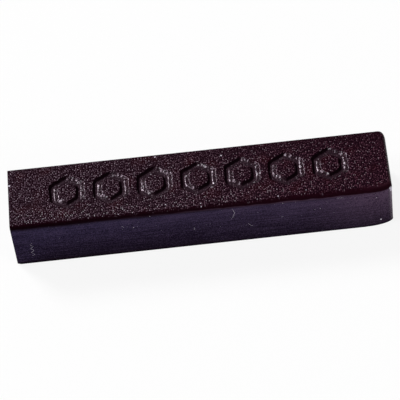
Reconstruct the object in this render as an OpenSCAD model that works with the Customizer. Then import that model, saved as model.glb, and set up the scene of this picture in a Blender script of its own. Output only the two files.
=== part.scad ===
// Furniture repair wax stick: a rectangular bar of dark wax lying on its underside,
// with a grained upper face that carries a band of pressed honeycomb cells.
// The stick is one casting, drawn as the two solids that its seam line divides:
// the smooth-sided body below and the grained face above it.
// X runs along the stick, from the square-cut end to the moulded end.
// Y runs across it, from front to back, and Z is up.
// The origin is the middle of the underside.

/* [Stick] */
// Length of the stick
stick_l = 80; // [50:0.5:160]
// Width of the stick across its face
stick_w = 15.6; // [12:0.1:30]
// Height of the stick from its underside to its face
stick_h = 13.1; // [5:0.1:40]

/* [Moulded end] */
// Length of the long, soft front corner along the stick
front_corner_l = 6.1; // [1:0.1:10]
// Depth of that front corner across the stick
front_corner_d = 1.7; // [1:0.1:5]
// Radius of the back corner, seen from above
back_corner_r = 1.5; // [1:0.1:6]

/* [Grained face] */
// How far the rounded edge reaches in over the face
edge_in = 0.75; // [0.2:0.05:0.95]
// Lean of the rounded edge where it leaves the seam line, from the upright
edge_lean = 25; // [0:1:60]
// Wax between the floor of the marks and the seam line, at the square-cut end
mark_floor = 0.15; // [0.1:0.05:2]
// How far the seam line runs down from the square-cut end to the moulded end
seam_drop = 1.05; // [0:0.05:3]

/* [Pressed marks] */
// Bare face left at each end of the band of marks, at least
end_margin = 7.4; // [2:0.1:20]
// Bare face left along each long edge
side_margin = 3.4; // [2:0.1:5]
// Bare face between two cells
cell_gap = 1.6; // [0.8:0.1:8]
// Width of the groove that outlines a cell
groove_w = 1.9; // [0.4:0.05:2.2]
// Depth of the marks below the face
mark_depth = 0.6; // [0.1:0.05:2]

/* [Hidden] */

// Colours of the two surfaces
body_colour = [0.157, 0.129, 0.196];
face_colour = [0.204, 0.149, 0.184];

// Overrun of the cuts, and thickness of the slices that shape the rounded edge
overrun = 0.5;
slice_t = 0.005;

// Facets of a corner, and slices of the rounded edge
corner_steps = 10;
edge_steps = 6;

// At the square-cut end the grained face is as thick as its marks and the wax under them,
// and it thickens evenly towards the moulded end
seam_slope = seam_drop / stick_l;
seam_mid_z = stick_h - mark_depth - mark_floor - seam_drop / 2;

// A cell is a regular hexagon whose points reach to the side margins,
// and its groove leaves an island in the middle
cell_sides = 6;
cell_r = stick_w / 2 - side_margin;
cell_inradius = cell_r * cos(180 / cell_sides);
island_share = 1 - groove_w / cell_inradius;

// As many cells as the band holds, spread evenly about the middle
pitch = 2 * cell_inradius + cell_gap;
band_l = stick_l - 2 * end_margin;
cell_count = floor((band_l + cell_gap) / pitch);
first_x = -pitch * (cell_count - 1) / 2;

// Quarter of an ellipse about a centre, starting at an angle
function corner(centre, radii, start) = [
    for (i = [0 : corner_steps])
        let (a = start + 90 * i / corner_steps)
            centre + [radii.x * cos(a), radii.y * sin(a)]
];

// Outline from above, drawn in by an inset on all sides but the square-cut end
function plan_points(inset) =
    let (
        end = stick_l / 2,
        side = stick_w / 2,
        front_radii = [front_corner_l, front_corner_d],
        back_radii = [back_corner_r, back_corner_r],
        front_centre = [end - front_radii.x, front_radii.y - side],
        back_centre = [end - back_radii.x, side - back_radii.y],
        draw_in = [inset, inset]
    )
    concat(
        [[-end, inset - side]],
        corner(front_centre, front_radii - draw_in, 270),
        corner(back_centre, back_radii - draw_in, 0),
        [[-end, side - inset]]
    );

module plan(inset = 0)
    polygon(plan_points(inset));

// Share of the rounded edge's rise and reach that is done at an angle of its arc
function rise_share(a) = (sin(a) - sin(edge_lean)) / (1 - sin(edge_lean));
function reach_share(a) = (cos(edge_lean) - cos(a)) / cos(edge_lean);

// Moves its children up to a share of the way from the sloping seam line to the level face
module lean_to(share)
    let (rise = seam_mid_z + (stick_h - slice_t - seam_mid_z) * share)
        multmatrix([
            [1, 0, 0, 0],
            [0, 1, 0, 0],
            [-seam_slope * (1 - share), 0, 1, rise],
            [0, 0, 0, 1]
        ])
            children();

module rounded_slab()
    hull()
        for (i = [0 : edge_steps])
            let (a = edge_lean + (90 - edge_lean) * i / edge_steps)
                lean_to(rise_share(a))
                    linear_extrude(slice_t)
                        plan(edge_in * reach_share(a));

// All that lies above the seam line
module above_seam()
    translate([0, 0, seam_mid_z])
        rotate([0, atan(seam_slope), 0])
            translate([-stick_l / 2 - overrun, -stick_w / 2 - overrun, 0])
                cube([stick_l + 2 * overrun, stick_w + 2 * overrun, stick_h]);

// Hexagon with a point towards the front and the back
module cell(share = 1)
    rotate(90)
        circle(cell_r * share, $fn = cell_sides);

module cell_groove()
    difference() {
        cell();
        cell(island_share);
    }

module mark_band()
    for (i = [0 : cell_count - 1])
        translate([first_x + pitch * i, 0])
            cell_groove();

module bar_body()
    color(body_colour)
        difference() {
            linear_extrude(stick_h)
                plan();
            above_seam();
        }

module grained_face()
    color(face_colour)
        difference() {
            rounded_slab();
            translate([0, 0, stick_h - mark_depth])
                linear_extrude(mark_depth + overrun)
                    mark_band();
        }

bar_body();
grained_face();
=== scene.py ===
"""Looks of a furniture repair wax stick: a dark cast bar whose upper face is grained and pressed."""

import math

import bmesh
import bpy
import numpy as np
from mathutils import Matrix, Vector


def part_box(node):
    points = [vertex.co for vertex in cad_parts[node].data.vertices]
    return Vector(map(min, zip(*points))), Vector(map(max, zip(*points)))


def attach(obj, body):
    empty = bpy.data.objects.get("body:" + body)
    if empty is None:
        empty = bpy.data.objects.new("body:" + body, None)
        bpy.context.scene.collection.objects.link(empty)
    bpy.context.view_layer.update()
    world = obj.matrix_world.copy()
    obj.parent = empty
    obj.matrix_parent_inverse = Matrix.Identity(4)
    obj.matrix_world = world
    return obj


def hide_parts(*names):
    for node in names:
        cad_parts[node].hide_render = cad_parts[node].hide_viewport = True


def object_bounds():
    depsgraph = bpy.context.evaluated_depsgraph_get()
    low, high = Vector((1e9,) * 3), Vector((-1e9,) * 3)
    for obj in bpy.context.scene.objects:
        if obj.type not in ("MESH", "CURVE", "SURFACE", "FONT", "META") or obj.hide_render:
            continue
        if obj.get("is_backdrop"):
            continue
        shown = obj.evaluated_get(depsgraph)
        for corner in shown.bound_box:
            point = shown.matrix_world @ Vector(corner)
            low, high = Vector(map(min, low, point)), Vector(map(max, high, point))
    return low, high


bl_info = {
    "name": "Furniture repair wax stick",
    "version": (1, 0, 0),
    "blender": (4, 5, 0),
    "location": "View3D > Sidebar > Wax stick",
    "description": "Dresses the solids of a cast wax stick with grain, pressed marks, wear and a studio",
    "category": "Object",
}

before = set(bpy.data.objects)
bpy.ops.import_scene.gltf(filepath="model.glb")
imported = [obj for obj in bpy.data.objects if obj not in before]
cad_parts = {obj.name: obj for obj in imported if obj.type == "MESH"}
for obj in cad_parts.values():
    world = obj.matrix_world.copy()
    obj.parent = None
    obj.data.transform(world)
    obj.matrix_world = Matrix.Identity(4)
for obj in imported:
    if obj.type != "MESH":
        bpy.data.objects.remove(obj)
cad_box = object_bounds()

MM = 0.001

# The stick's limits, from its two solids. They meet at the seam line,
# which runs down from the square-cut end to the moulded end.
(LEFT, FRONT, LOW_SEAM), (RIGHT, BACK, TOP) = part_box("grained_face")
UNDERSIDE, HIGH_SEAM = (corner.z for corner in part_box("bar_body"))

# Inner radius of a hexagon as a share of its outer one, and the least divisor
HEX_SHARE = math.sqrt(3) / 2
SMALL = 0.01

# Spacing of the meshes, steps round the edge of the face, and how far the moulded end bends the mesh
FACE_STEP = 0.118 * MM
BODY_STEP = 0.22 * MM
EDGE_STEPS = 10
END_ZONE = 12 * MM

# Rows of the sides' mesh round the foot, and from there to the seam line
FOOT_ROWS = 5
SIDE_ROWS = 54

# Angles past which the edges of a piece show sharp
FACE_SHARP = math.radians(75)
BODY_SHARP = math.radians(40)
FLECK_SHARP = math.radians(60)

# Seeds of all that is scattered
GRAIN_SEED = 11
MARK_SEED = 23
BODY_SEED = 37
BITE_SEED = 41
FLECK_SEED = 53

# Grain, in its own spacing: how far pebbles and pores stray from even rows, how far the rows bend
# and over how many pebbles, the lowest pebble as a share of the tallest,
# and how much longer pebbles and pores are across the stick
PEBBLE_STRAY = 0.75
PORE_STRAY = 0.85
ROW_BEND = 0.4
ROW_BEND_SIZE = 5
LOW_PEBBLE = 0.55
PEBBLE_DRAW = 1.15
PORE_DRAW = (1, 1.3, 1)

# Smooth rim round the grain: how far and over what size its edge wanders, how far from the front
# it is still wide and where it is narrow, and how far from the middle it starts to widen to the ends
RIM_WANDER = 0.132 * MM
RIM_WANDER_SIZE = 0.9 * MM
RIM_WIDE = 1.5 * MM
RIM_NARROW = 3.5 * MM
RIM_END = 5 * MM

# Sizes over which the depth of the grain changes, along and across the stick
GRAIN_CHANGE_SIZE = (5 * MM, 4 * MM)

# Pressed marks: softness of a cell's corners, half the zone where its walls change from steep to gentle,
# how soft a gentle wall is, and sizes of the unevenness of the walls and of the floor
CELL_SOFT = 0.35 * MM
CELL_MIDDLE = 0.5 * MM
GENTLE_EASE = 0.2
WOBBLE_SIZE = 0.8 * MM
FINE_WOBBLE_SIZE = 0.3 * MM
CRUMBLE_SIZE = 1.1 * MM
FINE_CRUMBLE_SIZE = 0.3 * MM
TOOL_WANDER_SIZE = 2 * MM
TOOL_SLANT = 0.8

# Bites out of the edges of the face: how many, how far they stay from the moulded end,
# how far in they lie, their radius and depth, from least to most, how torn they are and over what size,
# and how far from the edge they and their open wax start and are full
FRONT_BITES = 6
BACK_BITES = 8
CUT_BITES = 14
BITE_CLEAR = 3 * MM
BITE_INSET = (0.1 * MM, 0.5 * MM)
CUT_BITE_INSET = (0, 0.15 * MM)
BITE_RADIUS = (0.10 * MM, 0.28 * MM)
BITE_DEPTH = (0.04 * MM, 0.10 * MM)
BITE_TEAR = 0.3
BITE_TEAR_SIZE = 0.2 * MM
BITE_FADE = (0, 0.3 * MM)
CHIP_FADE = (0.1 * MM, 0.4 * MM)

# Nicks under the flecks of the face: depth, and radius as a share of the fleck's
NICK_DEPTH = 0.06 * MM
NICK_SHARE = 1.4

# Sides: sizes of the waves, streaks and knife marks along and up, the slant of the knife,
# how near the seam line they fade, and the way out along the stick below which a side is the cut end
WAVE_SIZE = (9 * MM, 5 * MM)
STREAK_SIZE = (14 * MM, 0.5 * MM)
KNIFE_SIZE = (0.6 * MM, 9 * MM)
KNIFE_SLANT = 0.3
SEAM_ZONE = 1.2 * MM
CUT_FACING = -0.9

# Ripples in the underside, and how far and how much rounder its rubbed front tip is at the cut end
RIPPLE_SIZE = (3 * MM, 0.6 * MM)
RIPPLE_DEPTH = 0.05 * MM
TIP_REACH = 0.8 * MM
TIP_WEAR = 2.5

# Flecks in nicks of the face: along, across and radius in millimetres
FACE_FLECKS = (
    (-8.64, 6.77, 0.24), (5.26, 5.25, 0.24), (-39.7, 3.27, 0.28), (-7.24, -6.05, 0.17),
    (16.2, -7.0, 0.16), (0.05, -6.7, 0.14), (0.1, -7.4, 0.14), (-30.5, -6.6, 0.13),
    (22.1, -6.2, 0.12), (-17.2, -7.2, 0.12),
)

# Flecks on the rubbed corner of the moulded end: along, across, up and radius in millimetres
CORNER_FLECKS = ((39.55, -6.62, 11.35, 0.36), (39.64, -6.55, 10.8, 0.38), (39.68, -6.5, 10.25, 0.26))

# Flecks on the front: along, up and radius in millimetres
FRONT_FLECKS = (
    (37.25, 1.76, 0.26), (17.0, 11.4, 0.12), (-10.8, 11.8, 0.12), (36.5, 9.6, 0.10),
    (24.7, 8.25, 0.11), (27.5, 6.3, 0.10), (23.6, 8.1, 0.09), (-14.5, 8.6, 0.10),
)

# Flecks strewn over the front: how many, how far they stay from its ends, how far below the seam line
# they lie at the least, mostly and at the most, and their radius from least to most
STREWN_COUNT = 70
STREWN_CLEAR = (2 * MM, 3 * MM)
STREWN_LEAST = 0.1 * MM
STREWN_MOSTLY = 3 * MM
STREWN_MOST = 11 * MM
STREWN_RADIUS = (0.025 * MM, 0.06 * MM)

# How deep a fleck's middle lies under the front, which is half as deep as under the face,
# and the least radius of a crumb as a share of its most
FLECK_SINK = 0.05 * MM
CRUMB_LOW = 0.7

# Slivers on the front: radius, steps for each point of a path, sides,
# and paths along and up in millimetres
SLIVER_R = 0.018 * MM
SLIVER_STEPS = 8
SLIVER_SIDES = 6
HAIR = ((6.35, 11.6), (6.87, 9.9), (6.07, 7.9))
SCRATCH = ((9.3, 5.95), (9.75, 5.2), (10.4, 4.7))
CURL = tuple((-36.3 + 0.3 * (-1) ** turn, 7.1 - 0.66 * turn) for turn in range(8))
DASHES = (
    ((16.4, 7.0), (17.0, 6.7)), ((-1.9, 6.35), (-1.95, 5.5)), ((-16.9, 9.45), (-16.4, 9.0)),
    ((28.3, 11.15), (29.7, 11.1)),
)

# Finish of the face: where it and its painted glints start to turn redder and where its rim warms, along
# the stick, how far above the seam line the painted light of the sides creeps, and a pore's painted glint
# as a share of the spacing
RUDDY_START = -30 * MM
WARM_START = 32 * MM
SEAM_LIGHT_REACH = (0.1 * MM, 0.4 * MM)
GLINT_R = 0.34
GLINT_EDGE = 0.24

# Finish of the sides: how the patterns are drawn out, where the painted light by the moulded end starts
# and is full, how far the cut end, the foot and the seam line change the painted film and shade,
# and how much the painted shade by the seam line thins along the stick
STREAK_DRAW = (30, 30, 1)
CLOUD_DRAW = (2, 2, 1)
MOTTLE_DRAW = (1, 1, 1.3)
END_LIGHT_SPAN = (18 * MM, RIGHT + 2 * MM)
CUT_SHEEN_REACH = 9 * MM
FOOT_SHADE = 1.6 * MM
SEAM_SHADE = (-0.1 * MM, 1.3 * MM)
SEAM_THINNING = 0.011

# Gloss of the rim, the grain, the sides and the flecks, its tint, and depths of the fine bumps
RIM_GLOSS = 0.005
GRAIN_GLOSS = 0.35
SIDE_GLOSS = 0.008
FLECK_GLOSS = 0.3
GLOSS_TINT = (1, 0.80, 0.95)
SIDE_BUMP = 0.02 * MM
FLECK_BUMP = 0.01 * MM

# Lamps: how far round from the moulded end, how high, and how wide, at one distance
LAMP_DISTANCE = 3
LAMPS = {
    "key": (math.radians(133), math.radians(42), 0.9),
    "side": (math.radians(190), math.radians(45), 0.9),
    "fill": (math.radians(-40), math.radians(28), 1.2),
}
FLOOR_SIDES = 96
WHITE = (1, 1, 1)


def length(name, description, default):
    """A size in metres that a user may change."""
    return bpy.props.FloatProperty(
        name=name, description=description, default=default, unit="LENGTH", precision=5
    )


def angle(name, description, degrees):
    """An angle that a user may change."""
    default = math.radians(degrees)
    return bpy.props.FloatProperty(
        name=name, description=description, default=default, unit="ROTATION", subtype="ANGLE"
    )


def level(name, description, default):
    """An amount of light that a user may change, where 1 lights a white surface fully."""
    return bpy.props.FloatProperty(
        name=name, description=description, default=default, min=0, subtype="FACTOR"
    )


def colour(name, description, default):
    """A colour that a user may change."""
    return bpy.props.FloatVectorProperty(
        name=name, description=description, default=default, min=0, max=1, size=3, subtype="COLOR"
    )


class WaxStickShape(bpy.types.PropertyGroup):
    """Sizes that the looks share with the solids."""

    front_corner_l: length("Front corner length", "Length of the soft front corner", 6.1 * MM)
    front_corner_d: length("Front corner depth", "Depth of the soft front corner", 1.7 * MM)
    back_corner_r: length("Back corner", "Radius of the back corner", 1.5 * MM)
    edge_reach: length("Edge reach", "How far the rounded edge reaches over the face", 0.75 * MM)
    edge_lean: angle("Edge lean", "Lean of the rounded edge at the seam, from the upright", 25)
    end_margin: length("End margin", "Bare face at each end of the marks, at least", 7.4 * MM)
    side_margin: length("Side margin", "Bare face along each long edge", 3.4 * MM)
    cell_gap: length("Cell gap", "Bare face between two cells", 1.6 * MM)
    groove_w: length("Groove width", "Width of the groove that outlines a cell", 1.9 * MM)
    mark_depth: length("Mark depth", "Depth of the pressed marks", 0.6 * MM)


class WaxStickWear(bpy.types.PropertyGroup):
    """Sizes of the grain, the tool marks and the wear."""

    grain_cell: length("Grain", "Size of one pebble of the grain", 0.52 * MM)
    grain_depth: length("Grain depth", "Depth of the grain", 0.07 * MM)
    pore_cell: length("Pore", "Spacing of the pores on the grain", 0.33 * MM)
    pore_depth: length("Pore depth", "Depth of the pores on the grain", 0.02 * MM)
    steep_wall: length("Steep wall", "Width of the marks' walls that face the moulded end", 0.6 * MM)
    gentle_wall: length("Gentle wall", "Width of the marks' walls that face the cut end", 0.9 * MM)
    wall_wobble: length("Mark wobble", "How far the wall of a mark wanders", 0.09 * MM)
    crumble: length("Crumble", "Depth of the crumbled wax on the walls of the marks", 0.08 * MM)
    tool_line: length("Tool line", "Spacing of the tool lines on the floor of the marks", 0.5 * MM)
    tool_depth: length("Tool line depth", "Depth of those tool lines", 0.03 * MM)
    streak_depth: length("Streak depth", "Depth of the streaks along the sides", 0.02 * MM)
    wave_depth: length("Wave depth", "Depth of the long waves in the sides", 0.05 * MM)
    cut_depth: length("Cut depth", "Depth of the knife marks on the square-cut end", 0.12 * MM)
    foot_round: length("Foot round", "Radius of the edge round the underside", 0.14 * MM)
    seam_step: length("Seam step", "How far the sides stand back under the seam line", 0.02 * MM)


class WaxStickPattern(bpy.types.PropertyGroup):
    """Sizes of the patterns in the finishes."""

    patch: length("Patch", "Size of the redder patches of the face", 4 * MM)
    # Size of the patches of painted highlight on the walls of the marks that face the lamps
    scuff_and_glint: length("Scuff", "Size of the scuffs on the walls of the marks", 0.7 * MM)
    speck: length("Speck", "Size of the specks in a bite", 0.16 * MM)
    streak: length("Streak", "Thickness of the streaks in the bloom", 0.3 * MM)
    cloud: length("Cloud", "Size of the clouds in the bloom", 5 * MM)
    dapple: length("Dapple", "Size of the dapples in the bloom", 0.22 * MM)
    grit: length("Grit", "Size of the grit in the bloom", 0.2 * MM)
    mottle: length("Mottle", "Size of the dark mottles by the moulded end", 0.34 * MM)
    crumb: length("Crumb", "Size of the mottles of a fleck", 0.1 * MM)


class WaxStickColours(bpy.types.PropertyGroup):
    """Colours of the wax, of what lies on it, and of the light and shade painted on it."""

    wax: colour("Wax", "Dark brown wax", (0.0088, 0.0020, 0.0050))
    rust: colour("Rust", "Redder patches of the wax", (0.0150, 0.0022, 0.0045))
    rim: colour("Rim", "Smooth wax round the edge of the face", (0.0185, 0.0024, 0.0066))
    # Painted highlight: the pale glints on the crests of the grain are painted into this colour
    crest: colour("Crest", "Dulled wax on the crests of the grain", (0.3300, 0.2080, 0.2800))
    # Redder painted glints by the moulded end, and the warm tint of the rim there
    ruddy_wax_and_glint: colour("Ruddy", "Redder crests by the moulded end", (0.2350, 0.0850, 0.1350))
    pressed: colour("Pressed", "Wax on the floor of the marks", (0.0200, 0.0100, 0.0150))
    # Painted shade: laid on the walls of the marks that face away from the lamps, along the seam line, at
    # the foot and under the seam line
    painted_shade: colour("Crease", "Dark wax in creases and on steep walls", (0.0048, 0.0008, 0.0026))
    # Painted shade: the sides darken to this towards the underside; it also tints their dark mottles
    shade: colour("Shade", "Smooth sides near the underside", (0.0062, 0.0024, 0.0108))
    # Cool film on the sides, which is also painted reflection: the sides are painted lighter towards the
    # seam line
    bloom_and_sheen: colour("Bloom", "Cool bloom on the smooth sides", (0.0340, 0.0265, 0.0690))
    # Painted light: the sides turn paler towards the moulded end and upwards, and so does the face just
    # above the seam line there
    haze_and_end_light: colour("Haze", "Paler bloom by the moulded end", (0.1050, 0.0620, 0.1070))
    scrape: colour("Scrape", "Wax laid open by a bite or a knife", (0.1150, 0.0760, 0.1040))
    # Painted highlight: pale colour of the glints on the lit walls of the marks and on the pores, and of
    # the scuffs with a painted highlight on the corner of the moulded end
    scuff_and_glint: colour("Scuff", "Scuffed wax on walls, corners and pores", (0.4800, 0.4300, 0.4800))
    fleck: colour("Fleck", "Pale wax flecks", (0.7000, 0.6500, 0.7600))


class WaxStickStage(bpy.types.PropertyGroup):
    """The studio and the camera."""

    floor: colour("Floor", "Pale floor and backdrop", (0.93, 0.93, 0.93))
    floor_radius: length("Floor radius", "Radius of the floor", 3.4)
    backdrop_h: length("Backdrop height", "Height of the backdrop round the floor", 0.7)
    white: level("White", "Share of plain white in the floor as it is seen", 0.86)
    sky: level("Sky", "Light from all round", 0.11)
    key: level("Key", "Lamp behind the square-cut end", 0.52)
    side: level("Side", "Lamp beside the square-cut end", 0.28)
    fill: level("Fill", "Lamp before the moulded end", 0.10)
    azimuth: angle("Azimuth", "How far the camera stands to the right of the front", 1.862)
    elevation: angle("Elevation", "How high the camera stands", 52.664)
    roll: angle("Roll", "How far the camera is turned about its own line of sight", -7.673)
    distance: length("Distance", "Distance from the camera to its target", 566.8 * MM)
    target_x: length("Target along", "Place of the target along the stick", -0.209 * MM)
    target_z: length("Target height", "Height of the target", 5.398 * MM)
    lens: bpy.props.FloatProperty(
        name="Lens", description="Focal length in millimetres", default=241.2, unit="CAMERA"
    )


def between(first, second, share):
    """First value where the share is 0, second where it is 1."""
    return first + (second - first) * share


def smooth_step(low, high, value):
    """Rise from 0 at low to 1 at high with soft ends."""
    part = np.clip((value - low) / (high - low), 0, 1)
    return part * part * (3 - 2 * part)


def soft_noise(u, v, size, seed):
    """Even noise from -1 to 1 that changes over about a size, which is one for both ways or a pair."""
    along, across = np.broadcast_to(size, 2)
    u, v = u / along, v / across
    i, j = np.floor(u).astype(int), np.floor(v).astype(int)
    part_i, part_j = smooth_step(0, 1, u - i), smooth_step(0, 1, v - j)
    i, j = i - i.min(), j - j.min()
    knots = np.random.default_rng(seed).uniform(-1, 1, (i.max() + 2, j.max() + 2))
    near = between(knots[i, j], knots[i + 1, j], part_i)
    far = between(knots[i, j + 1], knots[i + 1, j + 1], part_i)
    return between(near, far, part_j)


def even_noise(u, v, size, seed):
    """The same noise, from 0 to 1."""
    return 0.5 + 0.5 * soft_noise(u, v, size, seed)


def pebbles(u, v, seed):
    """Domes about one unit wide, packed unevenly: 1 on top of a tall dome, 0 deep between domes."""
    i, j = np.floor(u).astype(int), np.floor(v).astype(int)
    low_i, low_j = i.min() - 1, j.min() - 1
    spots = np.random.default_rng(seed).random((i.max() - low_i + 2, j.max() - low_j + 2, 3))
    rise = np.zeros_like(u)
    for step_i in (-1, 0, 1):
        for step_j in (-1, 0, 1):
            along, across, tall = np.moveaxis(spots[i + step_i - low_i, j + step_j - low_j], -1, 0)
            from_u = i + step_i + 0.5 + PEBBLE_STRAY * (along - 0.5) - u
            from_v = j + step_j + 0.5 + PEBBLE_STRAY * (across - 0.5) - v
            away = np.hypot(from_u, from_v)
            rise = np.maximum(rise, between(LOW_PEBBLE, 1, tall) * (1 - away * away))
    return rise


def along_share(x):
    """Share of the way from the square-cut end to the moulded end."""
    return (x - LEFT) / (RIGHT - LEFT)


def seam_height(x):
    """Height of the seam line at a place along the stick."""
    return between(HIGH_SEAM, LOW_SEAM, along_share(x))


def bow(part):
    """How far a round corner has fallen away at a part of its length, both as shares."""
    return 1 - np.sqrt(1 - np.clip(part, 0, 1) ** 2)


def moulded_end(y, shape):
    """Where the outline's moulded end lies at each place across the stick."""
    front = shape.front_corner_l * bow(1 - (y - FRONT) / shape.front_corner_d)
    back = shape.back_corner_r * bow(1 - (BACK - y) / shape.back_corner_r)
    return RIGHT - front - back


def front_skin(x, shape):
    """Where the front lies at each place along the stick: its soft corner curves away."""
    return FRONT + shape.front_corner_d * bow(1 - (RIGHT - x) / shape.front_corner_l)


def edge_distance(x, y, shape):
    """Distance from the outline, leaving out the square-cut end."""
    distance = np.minimum(np.minimum(y - FRONT, BACK - y), RIGHT - x)
    for long, deep, inward in (
        (shape.front_corner_l, shape.front_corner_d, y - FRONT),
        (shape.back_corner_r, shape.back_corner_r, BACK - y),
    ):
        u, v = 1 - (RIGHT - x) / long, 1 - inward / deep
        radius = np.hypot(u, v)
        slope = np.hypot(u / long, v / deep) / np.maximum(radius, SMALL)
        distance = np.where((u > 0) & (v > 0), (1 - radius) / np.maximum(slope, SMALL), distance)
    return distance


def edge_rise(distance, shape):
    """Share of the face's thickness that the rounded edge has risen at a distance from the outline."""
    lean = shape.edge_lean
    turn = np.arccos(np.clip(math.cos(lean) * (1 - distance / shape.edge_reach), 0, 1))
    return (np.sin(turn) - math.sin(lean)) / (1 - math.sin(lean))


def face_level(x, y, shape):
    """Height of the plain face with its rounded edge."""
    return between(seam_height(x), TOP, edge_rise(edge_distance(x, y, shape), shape))


def plan_grid(shape, step, edge_steps):
    """Points of the stick's plan: lines along the stick end on its outline and crowd at the edges."""
    reach = shape.edge_reach
    turn = np.linspace(shape.edge_lean, math.pi / 2, edge_steps + 1)
    inset = reach * (1 - np.cos(turn) / math.cos(shape.edge_lean))
    along_count = round((RIGHT - LEFT) / step)
    across_count = round((BACK - FRONT - 2 * reach) / step)
    along = np.concatenate([np.linspace(LEFT, RIGHT - reach, along_count)[:-1], RIGHT - inset[::-1]])
    middle = np.linspace(FRONT + reach, BACK - reach, across_count)[1:-1]
    across = np.concatenate([FRONT + inset, middle, BACK - inset[::-1]])
    x, y = np.meshgrid(along, across, indexing="ij")
    return x - (RIGHT - moulded_end(y, shape)) * smooth_step(RIGHT - END_ZONE, RIGHT, x), y


def cell_depth(x, y, inradius):
    """How far inside a hexagon with slightly soft corners each point lies."""
    upright = np.abs(x)
    slanted = (np.hypot(x, CELL_SOFT) - CELL_SOFT) / 2 + np.abs(y) * HEX_SHARE
    return inradius - (upright + slanted + np.hypot(upright - slanted, CELL_SOFT)) / 2


def wall(depth, width, ease):
    """Share of a wall that has gone down at a depth inside it: an even slope, or soft if ease is 1."""
    part = np.clip(depth / width, 0, 1)
    return between(part, smooth_step(0, 1, part), ease)


def pressed_marks(x, y, shape, wear):
    """Share of the marks' full depth at each point of the face."""
    inradius = ((BACK - FRONT) / 2 - shape.side_margin) * HEX_SHARE
    pitch = 2 * inradius + shape.cell_gap
    band = RIGHT - LEFT - 2 * shape.end_margin
    count = math.floor((band + shape.cell_gap) / pitch)
    nearest = np.clip(np.round(x / pitch + (count - 1) / 2), 0, count - 1)
    local = x - pitch * (nearest - (count - 1) / 2)
    depth = cell_depth(local, y, inradius)
    depth += wear.wall_wobble * soft_noise(x, y, WOBBLE_SIZE, MARK_SEED)
    depth += wear.wall_wobble / 2 * soft_noise(x, y, FINE_WOBBLE_SIZE, MARK_SEED + 1)
    to_end = smooth_step(-CELL_MIDDLE, CELL_MIDDLE, local)
    outer_width = between(wear.steep_wall, wear.gentle_wall, to_end)
    inner_width = between(wear.gentle_wall, wear.steep_wall, to_end)
    outer = wall(depth, outer_width, between(1, GENTLE_EASE, to_end))
    return outer * wall(shape.groove_w - depth, inner_width, between(GENTLE_EASE, 1, to_end))


def edge_bites():
    """Bites out of the face's edges and nicks under its flecks: along, across, radius and depth."""
    rng = np.random.default_rng(BITE_SEED)
    long_edges = [
        (rng.uniform(LEFT, RIGHT - BITE_CLEAR), edge + rng.uniform(*BITE_INSET) * inward)
        for edge, inward, count in ((FRONT, 1, FRONT_BITES), (BACK, -1, BACK_BITES))
        for _ in range(count)
    ]
    cut_edge = [(LEFT + rng.uniform(*CUT_BITE_INSET), rng.uniform(FRONT, BACK)) for _ in range(CUT_BITES)]
    places = long_edges + cut_edge
    bites = [(x, y, rng.uniform(*BITE_RADIUS), rng.uniform(*BITE_DEPTH)) for x, y in places]
    flecks = np.multiply(FACE_FLECKS, MM)
    return bites + [(x, y, NICK_SHARE * radius, NICK_DEPTH) for x, y, radius in flecks]


def bitten(x, y, distance):
    """Depth of the bites and nicks, and where the wax that they lay open shows."""
    tear = BITE_TEAR * soft_noise(x, y, BITE_TEAR_SIZE, BITE_SEED)
    bite, chip = np.zeros_like(x), np.zeros_like(x)
    for at_x, at_y, radius, deep in edge_bites():
        bowl = np.clip(1 + tear - np.hypot(x - at_x, y - at_y) / radius, 0, 1)
        bite = np.maximum(bite, deep * bowl)
        chip = np.maximum(chip, np.minimum(2 * bowl, 1))
    return bite * smooth_step(*BITE_FADE, distance), chip * smooth_step(*CHIP_FADE, distance)


def grained_field(x, y, distance, shape):
    """Where the face is grained: 0 on its smooth rim, which widens along the front and to the ends."""
    by_front = smooth_step(FRONT + RIM_NARROW, FRONT + RIM_WIDE, y)
    by_ends = smooth_step(-RIM_END, LEFT, x) + 0.6 * smooth_step(RIM_END, RIGHT, x)
    rim = shape.edge_reach * (0.65 + 0.35 * by_front)
    wander = RIM_WANDER * soft_noise(x, y, RIM_WANDER_SIZE, GRAIN_SEED + 1)
    return smooth_step((0.25 + 0.2 * by_ends) * rim, (0.85 + 0.55 * by_ends) * rim, distance + wander)


def grain_crests(x, y, wear):
    """Crests of the grain, in rows that bend."""
    cell = wear.grain_cell
    bend_x = ROW_BEND * cell * soft_noise(x, y, ROW_BEND_SIZE * cell, GRAIN_SEED + 2)
    bend_y = ROW_BEND * cell * soft_noise(x, y, ROW_BEND_SIZE * cell, GRAIN_SEED + 3)
    return pebbles((x + bend_x) / cell, (y + bend_y) / (PEBBLE_DRAW * cell), GRAIN_SEED)


def mark_floor(x, y, shape, wear):
    """Depth of the floor of the marks, with its slanting tool lines."""
    wander = 0.6 * soft_noise(x, y, TOOL_WANDER_SIZE, GRAIN_SEED + 6)
    tool = 0.5 + 0.5 * np.sin(2 * math.pi * ((x + TOOL_SLANT * y) / wear.tool_line + wander))
    return shape.mark_depth - wear.tool_depth * tool - 0.25 * wear.grain_depth


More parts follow.
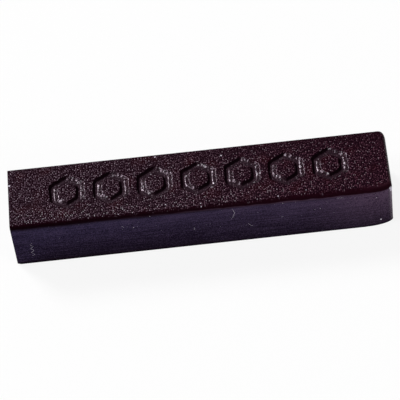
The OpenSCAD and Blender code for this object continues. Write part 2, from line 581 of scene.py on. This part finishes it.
def face_relief(x, y, shape, wear):
    """Heights of the grained face, and how far each point is grained, crested, pressed or chipped."""
    distance = edge_distance(x, y, shape)
    field = grained_field(x, y, distance, shape)
    pressed = pressed_marks(x, y, shape, wear)
    crest = grain_crests(x, y, wear)
    bite, chip = bitten(x, y, distance)

    change = 0.85 + 0.15 * soft_noise(x, y, GRAIN_CHANGE_SIZE, GRAIN_SEED + 5)
    grain = change * wear.grain_depth * (1 - crest) * (1 - 0.75 * pressed)
    rough = even_noise(x, y, FINE_CRUMBLE_SIZE, GRAIN_SEED + 4)
    rough += even_noise(x, y, CRUMBLE_SIZE, GRAIN_SEED + 7)
    crumble = 2 * pressed * (1 - pressed) * wear.crumble * rough
    height = face_level(x, y, shape) - bite
    height -= field * (grain + pressed * mark_floor(x, y, shape, wear) + crumble)

    along, across = np.gradient(pressed * shape.mark_depth, FACE_STEP)
    values = {"field": field, "crest": crest, "pressed": pressed, "chip": chip}
    values["inset"] = np.clip(distance / shape.edge_reach, 0, 2)
    # Walls of the marks that face away from the lamps get painted shade; walls that face them get painted
    # highlights
    values["lee"] = smooth_step(0.15, 0.7, along - 0.6 * across)
    values["lit"] = smooth_step(0.1, 0.4, -along)
    return np.maximum(height, seam_height(x)), values


def grid_faces(index):
    """Four-cornered faces between the points of a grid of indices."""
    corners = (index[:-1, :-1], index[1:, :-1], index[1:, 1:], index[:-1, 1:])
    return np.stack([corner.ravel() for corner in corners], axis=1).tolist()


def grid_border(index):
    """Indices of a grid's border, once round, from its first corner along its first line."""
    return np.concatenate([index[:, 0], index[-1, 1:], index[-2::-1, -1], index[0, -2:0:-1]])


def cut_wide_faces(mesh):
    """Cut each face that has more than four corners into triangles that are as wide as can be."""
    bm = bmesh.new()
    bm.from_mesh(mesh)
    wide = [face for face in bm.faces if len(face.verts) > 4]
    bmesh.ops.triangulate(bm, faces=wide, ngon_method="BEAUTY")
    bm.to_mesh(mesh)
    bm.free()


def make_piece(name, points, faces, values, material, sharp):
    """A smooth-shaded mesh object, sharp past an angle, with a layer for each named set of values."""
    mesh = bpy.data.meshes.new(name)
    mesh.from_pydata(points, [], faces)
    cut_wide_faces(mesh)
    for layer, numbers in values.items():
        data = mesh.attributes.new(layer, "FLOAT", "POINT").data
        data.foreach_set("value", numbers.astype(np.float32).ravel())
    mesh.validate()
    mesh.shade_smooth()
    mesh.set_sharp_from_angle(angle=sharp)
    mesh.materials.append(material)
    piece = bpy.data.objects.new(name, mesh)
    bpy.context.scene.collection.objects.link(piece)
    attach(piece, "root")
    return piece


def face_mesh(shape, wear):
    """Points, faces and point values of the closed grained face."""
    x, y = plan_grid(shape, FACE_STEP, EDGE_STEPS)
    height, values = face_relief(x, y, shape, wear)
    index = np.arange(x.size).reshape(x.shape)
    faces = grid_faces(index)
    faces += grid_faces(index[:, [-1, 0]])
    faces += [index[-1, ::-1].tolist(), index[0].tolist()]
    return np.stack([x, y, height], axis=-1).reshape(-1, 3), faces, values


def plan_outline(x, y):
    """The outline of a plan, once round: its indices in the grid, its points and the ways out there."""
    border = grid_border(np.arange(x.size).reshape(x.shape))
    outline = np.stack([x.ravel()[border], y.ravel()[border]], axis=-1)
    onward = np.roll(outline, -1, axis=0) - np.roll(outline, 1, axis=0)
    outward = np.stack([onward[:, 1], -onward[:, 0]], axis=-1)
    return border, outline, outward / np.linalg.norm(outward, axis=1, keepdims=True)


def foot_radius(x, y, wear):
    """Radius of the edge round the underside, which is rubbed rounder at the front tip of the cut end."""
    tip = np.hypot(x - LEFT, y - FRONT)
    return wear.foot_round * (1 + TIP_WEAR * smooth_step(TIP_REACH, 0, tip))


def draw_in(x, y, inset):
    """Points of the plan drawn in by an inset at its limits, and less towards its middle."""
    return np.stack([x * (1 - inset / RIGHT), y * (1 - inset / BACK)], axis=-1)


def side_dents(run, rise, tall, cut, wear):
    """How deep the dents of sides of a height are, at a run round them and a rise above the underside."""
    by_seam = smooth_step(tall - SEAM_ZONE, tall, rise)
    calm = smooth_step(0, 2 * wear.foot_round, rise) * (1 - by_seam)
    wave = wear.wave_depth * even_noise(run, rise, WAVE_SIZE, BODY_SEED)
    streak = wear.streak_depth * even_noise(run, rise, STREAK_SIZE, BODY_SEED + 1)
    slant_run, slant_rise = run + KNIFE_SLANT * rise, rise - KNIFE_SLANT * run
    knife = wear.cut_depth * even_noise(slant_run, slant_rise, KNIFE_SIZE, BODY_SEED + 2)
    return calm * np.where(cut, knife, wave + streak) + by_seam * wear.seam_step


def body_sides(outline, outward, wear):
    """Points of the sides in rows from the underside to the seam line, and what shows at each."""
    x, y = outline[:, :1], outline[:, 1:]
    foot = foot_radius(x, y, wear)
    tall = seam_height(x) - UNDERSIDE
    foot_rows = foot * (1 - np.cos(np.linspace(0, math.pi / 2, FOOT_ROWS)))
    side_rows = foot + (tall - foot) * np.linspace(0, 1, SIDE_ROWS)[1:]
    rise = np.concatenate([foot_rows, side_rows], axis=1)
    steps = np.linalg.norm(np.diff(outline, axis=0), axis=1)
    run = np.broadcast_to(np.concatenate([[0], np.cumsum(steps)])[:, None], rise.shape)

    cut = outward[:, :1] < CUT_FACING
    inward = side_dents(run, rise, tall, cut, wear)
    below = np.clip(foot - rise, 0, foot)
    rounding = foot - np.sqrt(foot * foot - below * below)
    places = draw_in(x, y, rounding) - outward[:, None] * inward[..., None]
    # The rounded corner of the moulded end by the front, which takes scuffs and a painted highlight
    worn = smooth_step(0.4, 0.85, outward[:, :1]) * smooth_step(FRONT * 0.65, FRONT * 0.85, y)
    values = {"cut": cut * (1 - (inward + rounding) / wear.cut_depth)}
    values["worn"] = np.broadcast_to(worn, rise.shape)
    return np.concatenate([places, UNDERSIDE + rise[..., None]], axis=-1), values


def body_underside(x, y, wear):
    """Points of the rippled underside inside its border."""
    inner = draw_in(x, y, foot_radius(x, y, wear))[1:-1, 1:-1]
    ripple = even_noise(inner[..., 0], inner[..., 1], RIPPLE_SIZE, BODY_SEED + 3)
    return np.concatenate([inner, (UNDERSIDE + RIPPLE_DEPTH * ripple)[..., None]], axis=-1)


def body_mesh(shape, wear):
    """Points, faces and point values of the closed body: sides, underside and the top under the seam."""
    x, y = plan_grid(shape, BODY_STEP, EDGE_STEPS // 2)
    border, outline, outward = plan_outline(x, y)
    sides, values = body_sides(outline, outward, wear)
    under = body_underside(x, y, wear)
    side_index = np.arange(sides.size // 3).reshape(sides.shape[:2])
    under_index = np.empty(x.shape, int)
    under_index[1:-1, 1:-1] = side_index.size + np.arange(under.size // 3).reshape(under.shape[:2])
    under_index.ravel()[border] = side_index[:, 0]

    faces = grid_faces(np.concatenate([side_index, side_index[:1]]))
    faces += grid_faces(under_index[:, ::-1])
    faces.append(side_index[:, -1].tolist())
    points = np.concatenate([sides.reshape(-1, 3), under.reshape(-1, 3)])
    bare = np.zeros(under.size // 3)
    return points, faces, {name: np.concatenate([part.ravel(), bare]) for name, part in values.items()}


def fleck_places(shape):
    """Middles and half sizes of the flecks: on the face, on the worn corner, then on the front."""
    rng = np.random.default_rng(FLECK_SEED)
    for x, y, radius in np.multiply(FACE_FLECKS, MM):
        yield (x, y, face_level(x, y, shape) - 2 * FLECK_SINK), (radius, radius, 2 * FLECK_SINK)
    for *middle, radius in np.multiply(CORNER_FLECKS, MM):
        yield middle, (radius, radius, radius)
    on_front = list(np.multiply(FRONT_FLECKS, MM))
    for _ in range(STREWN_COUNT):
        x = rng.uniform(LEFT + STREWN_CLEAR[0], RIGHT - STREWN_CLEAR[1])
        down = min(STREWN_LEAST + rng.exponential(STREWN_MOSTLY), STREWN_MOST)
        on_front.append((x, seam_height(x) - down, rng.uniform(*STREWN_RADIUS)))
    for x, z, radius in on_front:
        yield (x, front_skin(x, shape) + FLECK_SINK, z), (radius, min(FLECK_SINK, radius), radius)


def sliver(path, shape):
    """Points and faces of a thin closed sliver along a path on the front."""
    part = np.linspace(0, 1, SLIVER_STEPS * len(path))
    x, z = (np.interp(part, np.linspace(0, 1, len(path)), line) for line in np.multiply(path, MM).T)
    middle = np.stack([x, front_skin(x, shape) + SLIVER_R, z], axis=-1)
    ahead = np.gradient(middle, axis=0)
    ahead /= np.linalg.norm(ahead, axis=1, keepdims=True)
    inward = np.array((0, 1, 0))
    side = np.cross(ahead, inward)[:, None]
    thick = SLIVER_R * np.sqrt(np.sin(math.pi * (0.05 + 0.9 * part)))[:, None, None]
    turn = np.linspace(0, 2 * math.pi, SLIVER_SIDES, endpoint=False)[:, None]
    rings = middle[:, None] + thick * (np.cos(turn) * side + np.sin(turn) * inward)
    index = np.arange(rings.size // 3).reshape(rings.shape[:2])
    faces = grid_faces(np.concatenate([index, index[:, :1]], axis=1))
    return rings.reshape(-1, 3), faces + [index[0].tolist(), index[-1, ::-1].tolist()]


def fleck_mesh(shape):
    """Points and faces of the flecks and slivers, each one closed."""
    rng = np.random.default_rng(FLECK_SEED + 1)
    bm = bmesh.new()
    bmesh.ops.create_icosphere(bm, subdivisions=2, radius=1)
    ball = np.array([vertex.co for vertex in bm.verts])
    ball_faces = [[vertex.index for vertex in face.verts] for face in bm.faces]
    bm.free()
    made = []
    for middle, half in fleck_places(shape):
        crumb = ball * rng.uniform(CRUMB_LOW, 1, (len(ball), 1))
        made.append((np.array(middle) + crumb * half, ball_faces))
    made += [sliver(path, shape) for path in (HAIR, SCRATCH, CURL, *DASHES)]
    points, faces = [], []
    for part_points, part_faces in made:
        first = sum(len(part) for part in points)
        faces += [[first + corner for corner in face] for face in part_faces]
        points.append(part_points)
    return np.concatenate(points), faces, {}


class Tap:
    """One output of a node, which takes part in Python sums."""

    def __init__(self, graph, socket):
        self.graph = graph
        self.socket = socket

    def math(self, operation, *terms):
        """A Math node on two terms."""
        return self.graph.node("ShaderNodeMath", {"operation": operation}, dict(enumerate(terms)))

    def __add__(self, other):
        return self.math("ADD", self, other)

    def __sub__(self, other):
        return self.math("SUBTRACT", self, other)

    def __rsub__(self, other):
        return self.math("SUBTRACT", other, self)

    def __mul__(self, other):
        return self.math("MULTIPLY", self, other)

    def __truediv__(self, other):
        return self.math("DIVIDE", self, other)

    __radd__ = __add__
    __rmul__ = __mul__

    def other(self, output):
        """Another output of the same node."""
        return Tap(self.graph, self.socket.node.outputs[output])

    def ramp(self, low, high):
        """Rise from 0 at low to 1 at high with soft ends."""
        inputs = {"Value": self, "From Min": low, "From Max": high}
        return self.graph.node("ShaderNodeMapRange", {"interpolation_type": "SMOOTHSTEP"}, inputs)


class Graph:
    """The nodes of one material or world."""

    def __init__(self, tree):
        self.tree = tree
        tree.nodes.clear()

    def node(self, kind, settings=None, inputs=None, output=0):
        """Add a node, set it, fill its sockets with values or links, and give one output."""
        made = self.tree.nodes.new(kind)
        for name, value in (settings or {}).items():
            setattr(made, name, value)
        sockets = {socket.identifier: socket for socket in made.inputs}
        for key, value in (inputs or {}).items():
            socket = sockets.get(key) or made.inputs[key]
            if isinstance(value, Tap):
                self.tree.links.new(value.socket, socket)
            else:
                socket.default_value = value
        return Tap(self, made.outputs[output]) if made.outputs else None

    def mix(self, factor, first, second):
        """First colour where the factor is 0, second where it is 1."""
        inputs = {"Factor_Float": factor, "A_Color": first, "B_Color": second}
        return self.node("ShaderNodeMix", {"data_type": "RGBA"}, inputs, "Result")

    def layer(self, name):
        """A value that the mesh carries at each point."""
        return self.node("ShaderNodeAttribute", {"attribute_name": name}, output="Fac")

    def place(self):
        """Where a point lies in the stick's own frame."""
        return self.node("ShaderNodeTexCoord", output="Object")

    def axes(self):
        """The three parts of that place."""
        x = self.node("ShaderNodeSeparateXYZ", {}, {"Vector": self.place()})
        return x, x.other("Y"), x.other("Z")

    def spread(self, size, draw):
        """That place in steps of a size, drawn out along the stick's axes."""
        scale = tuple(1 / (size * part) for part in draw)
        return self.node("ShaderNodeVectorMath", {"operation": "MULTIPLY"}, {0: self.place(), 1: scale})

    def noise(self, size, detail, draw=(1, 1, 1)):
        """Noise about as coarse as a size, drawn out along the stick's axes."""
        inputs = {"Vector": self.spread(size, draw), "Scale": 1, "Detail": detail}
        return self.node("ShaderNodeTexNoise", {}, inputs, "Fac")

    def pores(self, size):
        """Distance from the middle of the nearest pore, as a share of a size, and its own number."""
        inputs = {"Vector": self.spread(size, PORE_DRAW), "Scale": 1, "Randomness": PORE_STRAY}
        away = self.node("ShaderNodeTexVoronoi", {"voronoi_dimensions": "2D"}, inputs, "Distance")
        return away, self.node("ShaderNodeSeparateColor", {}, {"Color": away.other("Color")})

    def bump(self, height, depth):
        """A normal that follows a height from 0 to 1, which stands for a depth in metres."""
        return self.node("ShaderNodeBump", {}, {"Height": height, "Distance": depth}, "Normal")

    def wax(self, tone, rough, normal, gloss):
        """Wax of a tone and a roughness, whose gloss is a plain number."""
        inputs = {"Base Color": tone, "Roughness": rough, "Normal": normal}
        inputs |= {"Specular IOR Level": gloss, "Specular Tint": paint(GLOSS_TINT)}
        return self.node("ShaderNodeBsdfPrincipled", {}, inputs)

    def blend(self, factor, first, second):
        """First shader where the factor is 0, second where it is 1."""
        inputs = {"Fac": factor, "Shader": first, "Shader_001": second}
        return self.node("ShaderNodeMixShader", {}, inputs)

    def show(self, shader):
        """Show a shader on the surface."""
        self.node("ShaderNodeOutputMaterial", {}, {"Surface": shader})


def new_graph(name):
    """A new material and its empty node tree."""
    material = bpy.data.materials.new(name)
    material.use_nodes = True
    return material, Graph(material.node_tree)


def paint(tone):
    """A colour as a colour socket takes it."""
    return (*tone, 1)


def grained_wax(colours, wear, pattern):
    """Finish of the upper face: glinting grain with painted glints, a dark smooth rim with painted shade
    at the seam line, and duller wax in the marks with painted shade and highlights on their walls.
    """
    material, graph = new_graph("grained_wax")
    field, crest, inset = graph.layer("field"), graph.layer("crest"), graph.layer("inset")
    pressed, chip = graph.layer("pressed"), graph.layer("chip")
    lee, lit = graph.layer("lee"), graph.layer("lit")
    x, y, z = graph.axes()
    by_end = x.ramp(RUDDY_START, RIGHT)
    by_front, by_back = y.ramp(FRONT / 3, FRONT), y.ramp(BACK / 3, BACK)
    patch = graph.noise(pattern.patch, 3)
    scuff_and_glint = graph.noise(pattern.scuff_and_glint, 3)
    speck = graph.noise(pattern.speck, 2)
    away, lot = graph.pores(wear.pore_cell)
    open_face = field * (1 - pressed.ramp(0.02, 0.3) * 0.6)

    # The rim darkens to painted shade along the seam line
    rim = graph.mix(inset.ramp(0, 0.7) * 0.5 + by_end * 0.5, paint(colours.painted_shade), paint(colours.rim))
    warm = x.ramp(WARM_START, RIGHT) * by_front * inset.ramp(0.2, 0.9)
    rim = graph.mix(warm * 0.2, rim, paint(colours.ruddy_wax_and_glint))
    tone = graph.mix(patch.ramp(0.5, 0.75), paint(colours.wax), paint(colours.rust))
    tone = graph.mix(field, rim, tone)
    tone = graph.mix(pressed.ramp(0.2, 1), tone, paint(colours.pressed))
    # Painted shade on the walls of the marks that face away from the lamps
    tone = graph.mix(lee * 0.82, tone, paint(colours.painted_shade))

    # Painted highlights: pale glints on the pores of the grain's crests, stronger towards the front,
    # redder towards the moulded end
    glint = graph.mix(by_end, paint(colours.crest), paint(colours.ruddy_wax_and_glint))
    sparkle = lot.ramp(0.8, 1) * (0.5 - by_end * 0.05 + by_front * (1 - by_end) * 0.8)
    glint = graph.mix(sparkle, glint, paint(colours.scuff_and_glint))
    spot = (GLINT_R - away).ramp(0, GLINT_EDGE) * (lot * lot * 1.25 + 0.18) * crest.ramp(-0.6, 0.6)
    strength = 0.76 + by_front * (0.22 - by_end * 0.15) - by_back * by_end * 0.35
    tone = graph.mix(open_face * spot * (1 - lee) * strength, tone, glint)

    # Painted highlights on the walls of the marks that face the lamps
    tone = graph.mix(lit * scuff_and_glint.ramp(0.61, 0.71), tone, paint(colours.scuff_and_glint))
    tone = graph.mix(chip * speck.ramp(0.4, 0.6), tone, paint(colours.scrape))
    # Painted light on the face just above the seam line by the moulded end
    seam_light = 1 - (z - seam_height(x) + (patch - 0.5) * MM).ramp(*SEAM_LIGHT_REACH)
    tone = graph.mix(seam_light * by_end * 0.6, tone, paint(colours.haze_and_end_light))

    rough = 0.26 - lit * 0.14
    normal = graph.bump((1 - away * away) * open_face, wear.pore_depth)
    sheen = field * (1 - lee) * (0.1 + spot * 0.9) * (1 - by_end * 0.6) + lit * 0.6
    dull, glossy = (graph.wax(tone, rough, normal, gloss) for gloss in (RIM_GLOSS, GRAIN_GLOSS))
    graph.show(graph.blend(sheen, dull, glossy))
    return material


def smooth_wax(colours, pattern):
    """Finish of the body: dark satin wax under a cool, streaky film, with painted light and shade:
    lighter towards the seam line and the moulded end, darker at the foot and under the seam line.
    """
    material, graph = new_graph("smooth_wax")
    cut, worn = graph.layer("cut"), graph.layer("worn")
    x, _, z = graph.axes()
    height = (z - UNDERSIDE) / (LOW_SEAM - UNDERSIDE)
    by_x = along_share(x)
    streak = graph.noise(pattern.streak, 3, STREAK_DRAW)
    cloud = graph.noise(pattern.cloud, 3, CLOUD_DRAW)
    dapple = graph.noise(pattern.dapple, 2, CLOUD_DRAW)
    grit = graph.noise(pattern.grit, 1)
    mottle = graph.noise(pattern.mottle, 1, MOTTLE_DRAW)
    patchy = streak * 1.2 + cloud * 0.5 + dapple * 0.9 + grit.ramp(0.3, 0.7) * 0.7 - 1.65

    # Painted shade and reflection: the sides go from dark at the underside to light towards the seam
    # line, more evenly by the cut end
    by_cut = 1 - x.ramp(LEFT, LEFT + CUT_SHEEN_REACH)
    rise = height * (1 - by_cut * 0.6) + by_cut * 0.4
    tone = graph.mix((rise * 0.86 + patchy).ramp(-0.04, 1.22), paint(colours.shade), paint(colours.bloom_and_sheen))
    # Painted light: paler towards the moulded end and upwards
    hazy_end_light = by_x * height * 0.4 + x.ramp(*END_LIGHT_SPAN) * (height * 0.36 + 0.18)
    tone = graph.mix(hazy_end_light + patchy * 0.5, tone, paint(colours.haze_and_end_light))
    tone = graph.mix(mottle.ramp(0.45, 0.7) * hazy_end_light * 0.7, tone, paint(colours.shade))

    # Painted shade along the foot, strongest by the cut end
    by_foot = 1 - (z - UNDERSIDE).ramp(0, FOOT_SHADE)
    tone = graph.mix(by_foot * (1 - by_x) * 0.8, tone, paint(colours.painted_shade))
    # Painted shade in a band under the seam line
    under_seam = seam_height(x) - z + (x - LEFT) * SEAM_THINNING + (cloud - 0.5) * MM
    tone = graph.mix(under_seam.ramp(*SEAM_SHADE), paint(colours.painted_shade), tone)
    # Pale scuffs and a painted highlight on the rounded corner of the moulded end
    ragged = (dapple + grit + height * 0.3).ramp(0.85, 1.35)
    tone = graph.mix(worn * ragged * 0.6, tone, paint(colours.scuff_and_glint))
    tone = graph.mix(cut * 0.4, tone, paint(colours.scrape))

    rough = 0.33 + streak * 0.1 + cut * 0.1
    normal = graph.bump(streak * 0.6 + dapple * 0.4, SIDE_BUMP)
    graph.show(graph.wax(tone, rough, normal, SIDE_GLOSS))
    return material


def pale_wax(colours, pattern):
    """Finish of the flecks: pale, dull wax."""
    material, graph = new_graph("pale_wax")
    crumb = graph.noise(pattern.crumb, 2)
    tone = graph.mix(crumb.ramp(0.2, 0.5), paint(colours.scrape), paint(colours.fleck))
    graph.show(graph.wax(tone, 0.5 + crumb * 0.2, graph.bump(crumb, FLECK_BUMP), FLECK_GLOSS))
    return material


def point_from(azimuth, elevation, distance):
    """A point at an angle round from the moulded end, an angle up and a distance."""
    flat = distance * math.cos(elevation)
    return Vector((flat * math.cos(azimuth), flat * math.sin(azimuth), distance * math.sin(elevation)))


def add_lamp(name, brightness):
    """A soft square lamp that gives a level of light on a level surface by the stick."""
    azimuth, elevation, size = LAMPS[name]
    lamp = bpy.data.lights.new(name + "_lamp", "AREA")
    lamp.size = size
    lamp.energy = brightness * (math.pi * LAMP_DISTANCE) ** 2 / math.sin(elevation)
    holder = bpy.data.objects.new(lamp.name, lamp)
    holder.location = point_from(azimuth, elevation, LAMP_DISTANCE)
    holder.rotation_euler = holder.location.to_track_quat("Z", "Y").to_euler()
    bpy.context.scene.collection.objects.link(holder)


def floor_paint(stage):
    """Finish of the floor: partly plain white where it is seen, and else lit, so it keeps shadows."""
    material, graph = new_graph("studio_floor")
    lit = graph.node("ShaderNodeBsdfDiffuse", {}, {"Color": paint(stage.floor)})
    white = graph.node("ShaderNodeEmission", {}, {"Color": paint(WHITE), "Strength": 1})
    seen = graph.node("ShaderNodeLightPath", output="Is Camera Ray")
    seen = seen + seen.other("Is Glossy Ray") + seen.other("Is Transmission Ray")
    graph.show(graph.blend(seen * stage.white, lit, white))
    return material


def add_floor(stage):
    """A round pale floor with a low backdrop all round."""
    bm = bmesh.new()
    rim = bmesh.ops.create_circle(bm, cap_ends=True, segments=FLOOR_SIDES, radius=stage.floor_radius)
    edges = list({edge for vertex in rim["verts"] for edge in vertex.link_edges})
    raised = bmesh.ops.extrude_edge_only(bm, edges=edges)["geom"]
    brim = [item for item in raised if isinstance(item, bmesh.types.BMVert)]
    bmesh.ops.translate(bm, verts=brim, vec=(0, 0, stage.backdrop_h))
    mesh = bpy.data.meshes.new("studio_floor")
    bm.to_mesh(mesh)
    bm.free()
    mesh.materials.append(floor_paint(stage))
    floor = bpy.data.objects.new("studio_floor", mesh)
    bpy.context.scene.collection.objects.link(floor)
    floor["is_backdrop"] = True


def add_sky(stage):
    """Even light from all round."""
    world = bpy.data.worlds.new("studio")
    world.use_nodes = True
    graph = Graph(world.node_tree)
    light = graph.node("ShaderNodeBackground", {}, {"Color": paint(WHITE), "Strength": stage.sky})
    graph.node("ShaderNodeOutputWorld", {}, {"Surface": light})
    bpy.context.scene.world = world


def add_camera(stage):
    """A camera at the photograph's place."""
    away = point_from(stage.azimuth - math.pi / 2, stage.elevation, 1)
    right = Vector((0, 0, 1)).cross(away).normalized()
    turn = Matrix((right, away.cross(right), away)).transposed() @ Matrix.Rotation(stage.roll, 3, "Z")
    target = Vector((stage.target_x, 0, stage.target_z))
    camera = bpy.data.objects.new("camera", bpy.data.cameras.new("camera"))
    camera.data.lens = stage.lens
    camera.matrix_world = Matrix.Translation(target + away * stage.distance) @ turn.to_4x4()
    bpy.context.scene.collection.objects.link(camera)
    bpy.context.scene.camera = camera


class WAXSTICK_OT_grained_face(bpy.types.Operator):
    """Model the grained upper face with its pressed band"""

    bl_idname = "wax_stick.grained_face"
    bl_label = "Grained face"

    def execute(self, context):
        scene = context.scene
        mesh = face_mesh(scene.wax_stick_shape, scene.wax_stick_wear)
        finish = grained_wax(scene.wax_stick_colours, scene.wax_stick_wear, scene.wax_stick_pattern)
        piece = make_piece("wax_face", *mesh, finish, FACE_SHARP)
        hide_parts("grained_face")
        return {"FINISHED"}


class WAXSTICK_OT_bar_body(bpy.types.Operator):
    """Model the smooth body with its streaked sides and its cut end"""

    bl_idname = "wax_stick.bar_body"
    bl_label = "Bar body"

    def execute(self, context):
        scene = context.scene
        mesh = body_mesh(scene.wax_stick_shape, scene.wax_stick_wear)
        finish = smooth_wax(scene.wax_stick_colours, scene.wax_stick_pattern)
        piece = make_piece("wax_body", *mesh, finish, BODY_SHARP)
        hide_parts("bar_body")
        return {"FINISHED"}


class WAXSTICK_OT_flecks(bpy.types.Operator):
    """Strew pale flecks and slivers of wax over the face and the front"""

    bl_idname = "wax_stick.flecks"
    bl_label = "Flecks"

    def execute(self, context):
        scene = context.scene
        mesh = fleck_mesh(scene.wax_stick_shape)
        finish = pale_wax(scene.wax_stick_colours, scene.wax_stick_pattern)
        piece = make_piece("wax_flecks", *mesh, finish, FLECK_SHARP)
        return {"FINISHED"}


class WAXSTICK_OT_stage(bpy.types.Operator):
    """Set up the floor, the lamps and the camera"""

    bl_idname = "wax_stick.stage"
    bl_label = "Stage"

    def execute(self, context):
        stage = context.scene.wax_stick_stage
        context.scene.view_settings.view_transform = "Standard"
        add_floor(stage)
        add_sky(stage)
        for name in LAMPS:
            add_lamp(name, getattr(stage, name))
        add_camera(stage)
        return {"FINISHED"}


GROUPS = {
    "wax_stick_shape": WaxStickShape,
    "wax_stick_wear": WaxStickWear,
    "wax_stick_pattern": WaxStickPattern,
    "wax_stick_colours": WaxStickColours,
    "wax_stick_stage": WaxStickStage,
}
OPERATORS = (WAXSTICK_OT_grained_face, WAXSTICK_OT_bar_body, WAXSTICK_OT_flecks, WAXSTICK_OT_stage)


class WAXSTICK_PT_sidebar(bpy.types.Panel):
    """Lists the stick's pieces, its stage and their settings"""

    bl_label = "Wax stick"
    bl_space_type = "VIEW_3D"
    bl_region_type = "UI"
    bl_category = "Wax stick"

    def draw(self, context):
        for operator in OPERATORS:
            self.layout.operator(operator.bl_idname)
        for name, group in GROUPS.items():
            box = self.layout.box()
            for entry in group.__annotations__:
                box.prop(getattr(context.scene, name), entry)


def register():
    """Register the classes and hang the property groups on the scene."""
    for entry in (*GROUPS.values(), *OPERATORS, WAXSTICK_PT_sidebar):
        bpy.utils.register_class(entry)
    for name, group in GROUPS.items():
        setattr(bpy.types.Scene, name, bpy.props.PointerProperty(type=group))


def unregister():
    """Undo what register did."""
    for name in GROUPS:
        delattr(bpy.types.Scene, name)
    for entry in (WAXSTICK_PT_sidebar, *OPERATORS, *GROUPS.values()):
        bpy.utils.unregister_class(entry)


def main():
    register()
    bpy.ops.wax_stick.grained_face()
    bpy.ops.wax_stick.bar_body()
    bpy.ops.wax_stick.flecks()
    bpy.ops.wax_stick.stage()
    boxes = {"cad": cad_box, "visual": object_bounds()}
    {name: [list(corner) for corner in box] for name, box in boxes.items()}


if __name__ == "__main__":
    main()
